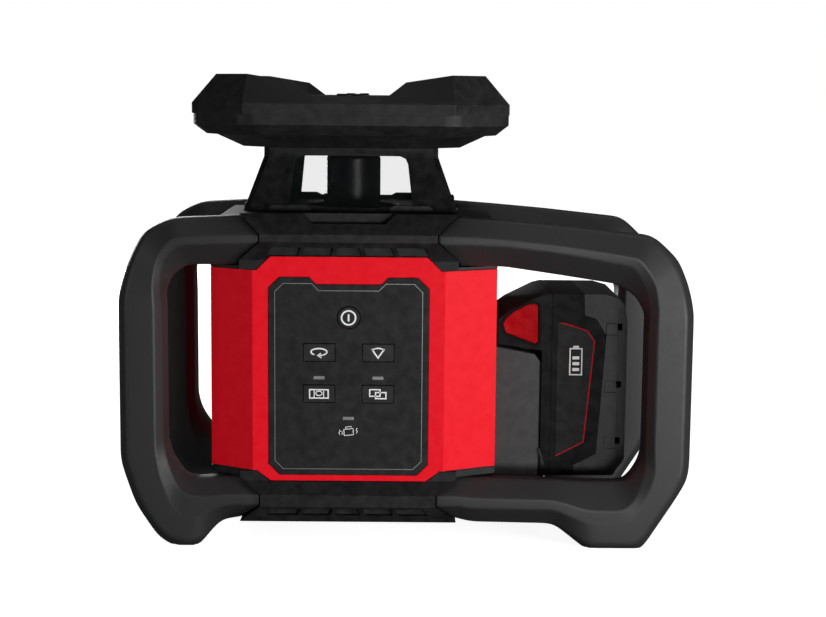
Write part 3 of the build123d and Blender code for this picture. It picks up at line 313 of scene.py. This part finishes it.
# Outer point (x, z), inner point (x, z) and section, along each handle from its top end to its bottom end.
LEFT_STATIONS = (
    ((-68.5, 189.3), (-68.5, 158.9), ARM),
    ((-110.0, 187.2), (-100.0, 158.6), ARM),
    ((-127.0, 178.6), (-109.0, 152.0), mix(ARM, LEG, 0.4)),
    ((-136.6, 158.0), (-113.4, 143.0), mix(ARM, LEG, 0.8)),
    ((-141.8, 140.0), (-113.9, 134.0), LEG),
    ((-141.8, 36.0), (-113.9, 48.0), LEG),
    ((-132.5, 9.0), (-109.5, 37.0), mix(LEG, LEFT_FOOT, 0.35)),
    ((-117.5, -13.0), (-103.0, 27.5), mix(LEG, LEFT_FOOT, 0.8)),
    ((-104.5, -19.0), (-97.5, 25.0), LEFT_FOOT),
    ((-94.4, -19.0), (-90.0, 25.0), LEFT_FOOT),
    ((-80.0, -1.5), (-80.0, 26.0), mix(LEFT_FOOT, LOWER_ARM, 0.8)),
    ((-68.5, 0.0), (-68.5, 27.0), LOWER_ARM),
)
RIGHT_STATIONS = (
    ((68.5, 189.3), (68.5, 158.9), ARM),
    ((95.0, 187.4), (95.0, 158.9), ARM),
    ((131.0, 184.4), (128.0, 154.2), ARM),
    ((187.0, 178.6), (165.0, 148.6), mix(ARM, LEG, 0.15)),
    ((202.5, 164.0), (177.0, 141.0), mix(ARM, LEG, 0.5)),
    ((209.0, 148.0), (183.0, 131.0), mix(ARM, LEG, 0.85)),
    ((212.5, 133.0), (184.0, 123.0), LEG),
    ((212.5, 35.0), (184.0, 48.0), LEG),
    ((211.0, 26.0), (181.5, 37.5), mix(LEG, RIGHT_FOOT, 0.3)),
    ((203.5, 13.5), (177.0, 30.0), mix(LEG, RIGHT_FOOT, 0.6)),
    ((190.5, -6.5), (172.0, 25.0), mix(LEG, RIGHT_FOOT, 0.85)),
    ((182.5, -19.0), (165.0, 24.5), RIGHT_FOOT),
    ((150.0, -19.0), (148.0, 24.5), RIGHT_FOOT),
    ((128.5, -2.5), (127.0, 25.5), mix(RIGHT_FOOT, LOWER_ARM, 0.8)),
    ((76.0, -2.0), (76.0, 26.5), LOWER_ARM),
    ((68.5, 0.0), (68.5, 27.0), LOWER_ARM),
)


def smooth_track(stations):
    """Evenly spaced rows of outer x, outer z, inner x, inner z and ten section numbers, blurred together."""
    rows = np.array([[*outer, *inner, *(v for pair in section for v in pair)]
                     for outer, inner, section in stations], float)
    middle = (rows[:, 0:2] + rows[:, 2:4]) / 2
    along = np.concatenate([[0], np.cumsum(np.linalg.norm(np.diff(middle, axis=0), axis=1))])
    places = np.linspace(0, along[-1], int(along[-1] / TRACK_STEP) + 1)
    columns = range(rows.shape[1])
    track = np.stack([np.interp(places, along, rows[:, k]) for k in columns], axis=1)
    reach = int(3 * TRACK_BLUR / TRACK_STEP)
    kernel = np.exp(-0.5 * (np.arange(-reach, reach + 1) * TRACK_STEP / TRACK_BLUR) ** 2)
    kernel /= kernel.sum()
    before, after = 2 * track[:1] - track[reach:0:-1], 2 * track[-1:] - track[-2:-reach - 2:-1]
    padded = np.concatenate([before, track, after])
    return np.stack([np.convolve(padded[:, k], kernel, mode="valid") for k in columns], axis=1)


def round_corner(before, corner, after, radius):
    """Three points that round a corner, on a cut no longer than the sides allow."""
    a, b = before - corner, after - corner
    reach_a = min(radius, SIDE_SHARE * np.linalg.norm(a))
    reach_b = min(radius, SIDE_SHARE * np.linalg.norm(b))
    p = corner + a / (np.linalg.norm(a) + 1e-9) * reach_a
    q = corner + b / (np.linalg.norm(b) + 1e-9) * reach_b
    return [p, (p + 2 * corner + q) / 4, q]


def handle_ring(row):
    """The ten corners of one row's section, each rounded to three points."""
    outer, inner = row[0:2], row[2:4]
    rim = []
    for t, y in row[4:].reshape(5, 2):
        x, z = outer + (inner - outer) * t
        rim.append(np.array([x, y, z]))
    flip = np.array([1, -1, 1])
    points = [p * flip for p in rim] + rim[::-1]
    radii = CORNER_RADII + CORNER_RADII[::-1]
    ring = []
    for i, point in enumerate(points):
        ring += round_corner(points[i - 1], point, points[(i + 1) % len(points)], radii[i])
    return ring


def shrunk(ring, amount):
    """A ring drawn in towards its middle by an amount."""
    centre = sum(ring) / len(ring)
    moved = []
    for p in ring:
        away = p - centre
        length = np.linalg.norm(away)
        moved.append(centre + away * max(0.0, length - amount) / length)
    return moved


def chevron(z):
    """Where the centre block ends at a height."""
    heights = [-20.0, 0.0, 10.5, 17.9, 27.2, 150.0, 162.6, 174.3, 179.0, 191.0, 200.0]
    ends = [67.0, 67.0, 54.0, 54.0, 67.0, 67.0, 67.0, 54.0, 54.0, 67.0, 67.0]
    return float(np.interp(z, heights, ends)) + END_GAP


def end_rings(ring, side):
    """The bar's end on the centre block's chevron, with a rounded rim."""
    return [[np.array([side * (chevron(p[2]) + gap), p[1], p[2]]) for p in shrunk(ring, inwards)]
            for inwards, gap in END_RINGS]


def handle(name, node, stations, side_y):
    """A cage handle as one skin over its rings; side_y is -1 at the front and 1 at the rear."""
    rings = [handle_ring(row) for row in smooth_track(stations)]
    side_x = math.copysign(1.0, stations[0][0][0])
    rings = end_rings(rings[0], side_x) + rings + end_rings(rings[-1], side_x)[::-1]
    bm = bmesh.new()
    layer = bm.verts.layers.float.new("edge")
    rows = []
    for ring in rings:
        row = []
        for k, (x, y, z) in enumerate(ring):
            vert = bm.verts.new((x * MM, side_y * (HANDLE_Y - y) * MM, max(z, FLOOR) * MM))
            vert[layer] = RIM_WEAR if k % 3 == 1 else 0.0
            row.append(vert)
        rows.append(row)
    for low, high in zip(rows, rows[1:]):
        for k in range(len(low)):
            n = (k + 1) % len(low)
            bm.faces.new((low[k], low[n], high[n], high[k]))
    for row in (rows[0], rows[-1]):
        bm.faces.new(row)
    bmesh.ops.recalc_face_normals(bm, faces=bm.faces)
    for edge in bm.edges:
        if edge.is_manifold and edge.calc_face_angle(0.0) > CREASE_ANGLE:
            edge.smooth = False
    piece = new_piece(name, bm, MATERIALS["grip_rubber"], "housing")
    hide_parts(node)


handle("grip_front_left", "handle_front_left", LEFT_STATIONS, -1)
handle("grip_front_right", "handle_front_right", RIGHT_STATIONS, -1)
handle("grip_rear_left", "handle_rear_left", LEFT_STATIONS, 1)
handle("grip_rear_right", "handle_rear_right", RIGHT_STATIONS, 1)


# ---- casings, rounded from the CAD shapes ----------------------------------------------

# Edge radii and, for the cap, corner radii in millimetres.
ROUNDED = {
    "base_housing": 0.8, "top_deck": 0.8, "front_shell": 1.1, "rear_shell": 1.1,
    "control_panel": 0.35, "rear_panel": 0.35, "lighthouse_frame": 0.6,
    "cap_lower": 1.8, "cap_upper": 2.2, "rotor_head": 0.3,
    "power_button": 0.4, "rotation_button": 0.45, "scan_button": 0.45, "level_button": 0.45,
    "mask_button": 0.45, "indicator_lenses": 0.2,
    "battery_dock": 1.2, "battery_case": 1.4, "battery_cover": 1.2, "battery_labels": 0.12,
    "battery_latch_front": 0.8, "battery_latch_rear": 0.8, "tripod_plate": 0.5,
}
CORNERED = {"cap_lower": 7.0, "cap_upper": 7.0}
for node, bevel in ROUNDED.items():
    refined(node, bevel * MM, corner=CORNERED.get(node, 0.0) * MM)

for node, obj in frame["nodes"].items():
    obj.data.materials.clear()
    obj.data.materials.append(MATERIALS[SLOT_OF[node]])


# ---- icons and printed lines -----------------------------------------------------------

# Millimetres: where the keys and the icons stand, and the faces they are printed on.
KEY_X, KEY_HIGH, KEY_LOW = 18.1, 106.1, 80.4
KEY_FACE, POWER_FACE, PANEL_FACE = -88.9, -89.4, -88.6
POWER_Z, TILT_Z = 127.8, 56.7
PANEL_HALF, PANEL_LOW, PANEL_HIGH = 49.0, 29.4, 152.4
PANEL_CORNER, PANEL_DIP, DIP_DEPTH = 6.7, 20.0, 4.3
PANEL_MARGIN = 3.8
FULL_RING = (0, 345)               # a closing stroke joins the two ends


def rectangle(cx, cz, width, height):
    return [(cx - width / 2, cz - height / 2), (cx + width / 2, cz - height / 2),
            (cx + width / 2, cz + height / 2), (cx - width / 2, cz + height / 2)]


icon("power_icon", [
    (arc(0, POWER_Z, 4.3, 4.3, *FULL_RING), 1.0, True),
    ([(0, POWER_Z - 2.2), (0, POWER_Z + 2.2)], 1.1, False),
], POWER_FACE, "power_button")
icon("rotation_icon", [
    (arc(-KEY_X, KEY_HIGH + 0.4, 4.9, 2.1, -55, 235), 0.9, False),
    ([(-KEY_X + 1.5, KEY_HIGH - 3.3), (-KEY_X - 0.7, KEY_HIGH - 1.8), (-KEY_X + 1.2, KEY_HIGH - 0.4)],
     0.8, False),
    ([(-KEY_X - 0.4, KEY_HIGH - 1.8), (-KEY_X + 2.6, KEY_HIGH - 1.6)], 0.8, False),
], KEY_FACE, "rotation_button")
icon("scan_icon", [
    ([(KEY_X - 3.9, KEY_HIGH + 2.5), (KEY_X, KEY_HIGH - 3.1), (KEY_X + 3.9, KEY_HIGH + 2.5)], 0.9, False),
    (arc(KEY_X, KEY_HIGH - 3.1, 6.5, 6.0, 55, 125), 0.8, False),
], KEY_FACE, "scan_button")
icon("level_icon", [
    (rectangle(-KEY_X, KEY_LOW, 11.4, 5.2), 0.8, True),
    ([(-KEY_X - 2.9, KEY_LOW - 2.4), (-KEY_X - 2.9, KEY_LOW + 2.4)], 0.6, False),
    ([(-KEY_X + 2.9, KEY_LOW - 2.4), (-KEY_X + 2.9, KEY_LOW + 2.4)], 0.6, False),
    (arc(-KEY_X, KEY_LOW + 0.3, 1.9, 1.4, *FULL_RING), 0.6, True),
], KEY_FACE, "level_button")
icon("mask_icon", [
    (rectangle(KEY_X - 1.8, KEY_LOW + 0.8, 6.4, 4.1), 0.8, True),
    (rectangle(KEY_X + 1.8, KEY_LOW - 0.8, 6.4, 3.8), 0.8, True),
], KEY_FACE, "mask_button")
icon("tilt_icon", [
    ([(-2.4, TILT_Z - 2.4), (3.2, TILT_Z - 1.8), (2.9, TILT_Z + 2.1), (-2.7, TILT_Z + 1.5)], 0.4, True),
    ([(-1.6, TILT_Z + 2.0), (-1.7, TILT_Z + 3.0), (1.7, TILT_Z + 3.4), (1.8, TILT_Z + 2.4)], 0.4, False),
    ([(-2.9, TILT_Z - 1.4), (-3.7, TILT_Z - 1.5), (-3.8, TILT_Z + 0.6)], 0.4, False),
    ([(-5.5, TILT_Z + 1.2), (-4.9, TILT_Z + 0.2), (-5.7, TILT_Z - 0.6), (-5.1, TILT_Z - 2.0)], 0.4, False),
    ([(5.5, TILT_Z + 2.4), (4.8, TILT_Z + 1.2), (5.6, TILT_Z + 0.4), (5.0, TILT_Z - 1.0)], 0.4, False),
], PANEL_FACE, "housing")


def panel_line(inset):
    """The panel's outline, moved in by an inset, with its dip at the top."""
    half, low, high = PANEL_HALF - inset, PANEL_LOW + inset, PANEL_HIGH - inset
    slant = inset * math.tan(math.pi / 8)
    corner, dip = PANEL_CORNER - slant, PANEL_DIP - slant
    right = [(half - corner, low), (half, low + corner), (half, high - corner), (half - corner, high),
             (dip + DIP_DEPTH, high), (dip, high - DIP_DEPTH)]
    return right + [(-x, z) for x, z in reversed(right)]


icon("panel_trim", [
    (panel_line(PANEL_MARGIN), 0.45, True),
], PANEL_FACE, "housing", "trim_silver")


# ---- battery trim and a painted highlight ----------------------------------------------

PACK_FACE, LABEL_FACE = 39.0, 39.3


def trim(name, strokes, face, material, height):
    """The same raised lines on the pack's front and back."""
    for side, label in ((-1, "front"), (1, "rear")):
        bm = bmesh.new()
        for points, width, closed in strokes:
            ribbon(bm, points, width, -face, height, closed)
        for vert in bm.verts:
            vert.co.y *= -side
        bmesh.ops.recalc_face_normals(bm, faces=bm.faces)
        new_piece(name + "_" + label, bm, MATERIALS[material], "battery", smooth=False)


trim("label_line", [
    ([(134.4, 118.6), (137.6, 118.2), (151.9, 113.6), (156.6, 106.8), (150.7, 40.9), (133.0, 31.4)],
     0.6, False),
], LABEL_FACE, "line_red", height=PRINT_HEIGHT)
trim("label_sign", [
    ([(141.0, 85.0), (148.6, 85.0), (148.6, 102.0), (141.0, 102.0)], 0.8, True),
    ([(143.0, 103.2), (146.6, 103.2)], 1.2, False),
    ([(142.6, 88.4), (147.0, 88.4)], 2.0, False),
    ([(142.6, 92.2), (147.0, 92.2)], 2.0, False),
    ([(142.6, 96.0), (147.0, 96.0)], 2.0, False),
], LABEL_FACE, "icon_white", height=PRINT_HEIGHT)
trim("latch_frame", [
    ([(96.4, 117.4), (98.5, 111.3), (118.3, 103.6), (121.4, 105.5), (121.0, 129.8), (118.0, 131.8),
      (113.3, 131.1), (104.6, 126.9), (98.8, 122.0)], 1.4, True),
], PACK_FACE, "pack_frame", height=0.35)
# A painted highlight: a lighter slanted line on the pack's side, standing in for light caught on the edge
# beside the dock.
trim("painted_side_highlight", [
    ([(121.9, 36.2), (124.9, 25.6)], 1.2, False),
], PACK_FACE, "pack_line_and_highlight", height=0.25)
trim("cover_lines", [
    ([(160.8, 133.6), (169.4, 132.2), (170.6, 125.2), (161.4, 126.0)], 0.4, True),
    ([(162.0, 37.6), (169.6, 36.8), (171.0, 27.6), (164.0, 28.6)], 0.4, True),
], PACK_FACE, "pack_line_and_highlight", height=0.12)


# ---- stage, light, camera --------------------------------------------------------------

def seen(tree, hidden, shown):
    """A value that is one thing to the camera and another to the light that bounces about the room."""
    node = tree.nodes.new("ShaderNodeMapRange")
    node.inputs["To Min"].default_value = hidden
    node.inputs["To Max"].default_value = shown
    tree.links.new(tree.nodes.new("ShaderNodeLightPath").outputs["Is Camera Ray"], node.inputs["Value"])
    return node.outputs["Result"]


def floor():
    """A plain pale floor that the camera sees as white."""
    bpy.ops.mesh.primitive_plane_add(size=40, location=(0, 0, FLOOR * MM))
    plane = bpy.context.object
    plane.name = "floor"
    paint = bpy.data.materials.new("floor_paint")
    paint.use_nodes = True
    tree = paint.node_tree
    shader = tree.nodes["Principled BSDF"]
    tree.links.new(seen(tree, 0.16, 0.90), shader.inputs["Base Color"])
    shader.inputs["Emission Color"].default_value = (1, 1, 1, 1)
    tree.links.new(seen(tree, 0.0, 0.88), shader.inputs["Emission Strength"])
    shader.inputs["Roughness"].default_value = 0.95
    shader.inputs["Specular IOR Level"].default_value = 0.0
    plane.data.materials.append(paint)


def backdrop():
    """A pale backdrop that hardly lights the object."""
    world = bpy.data.worlds.new("studio")
    bpy.context.scene.world = world
    world.use_nodes = True
    tree = world.node_tree
    tree.links.new(seen(tree, 0.055, 1.0), tree.nodes["Background"].inputs["Strength"])
    tree.nodes["Background"].inputs["Color"].default_value = (1, 1, 1, 1)


def softbox(name, place, target, size, power):
    lamp = bpy.data.lights.new(name, "AREA")
    lamp.shape = "RECTANGLE"
    lamp.size, lamp.size_y = size
    lamp.energy = power
    holder = bpy.data.objects.new(name, lamp)
    holder.location = place
    holder.rotation_euler = (Vector(target) - Vector(place)).to_track_quat("-Z", "Y").to_euler()
    bpy.context.scene.collection.objects.link(holder)


def sun(angle, strength):
    """Soft light from overhead."""
    lamp = bpy.data.lights.new("overhead", "SUN")
    lamp.angle = math.radians(angle)
    lamp.energy = strength
    holder = bpy.data.objects.new("overhead", lamp)
    holder.rotation_euler = (math.radians(-12), math.radians(6), 0.0)
    bpy.context.scene.collection.objects.link(holder)


def camera():
    """The photographer stood slightly right of the rotor's axis, a little above the tower."""
    data = bpy.data.cameras.new("camera")
    data.sensor_width = 36.0
    data.lens = 71.308
    data.clip_start = 0.01
    holder = bpy.data.objects.new("camera", data)
    holder.location = (0.0339, -1.0795, 0.266)
    pitch, yaw, roll = math.radians(7.60), math.radians(-0.312), math.radians(0.51)
    level = Matrix.Rotation(yaw, 4, "Z") @ Matrix.Rotation(math.pi / 2 - pitch, 4, "X")
    holder.rotation_euler = (level @ Matrix.Rotation(roll, 4, "Z")).to_euler()
    bpy.context.scene.collection.objects.link(holder)
    bpy.context.scene.camera = holder


floor()
backdrop()
sun(60, 0.45)
softbox("key", (0.98, -0.76, 0.12), (0.08, -0.05, 0.10), (0.5, 0.22), 9.5)
softbox("front", (0.46, -1.40, 0.07), (0.12, 0.0, 0.08), (0.35, 0.16), 8.0)
softbox("left", (-1.05, -0.75, 0.26), (-0.05, 0.0, 0.12), (0.5, 0.5), 2.2)
softbox("back", (-0.65, 1.35, 0.30), (0.0, 0.0, 0.10), (0.8, 0.5), 16.0)
camera()
bpy.context.scene.view_settings.view_transform = "Standard"
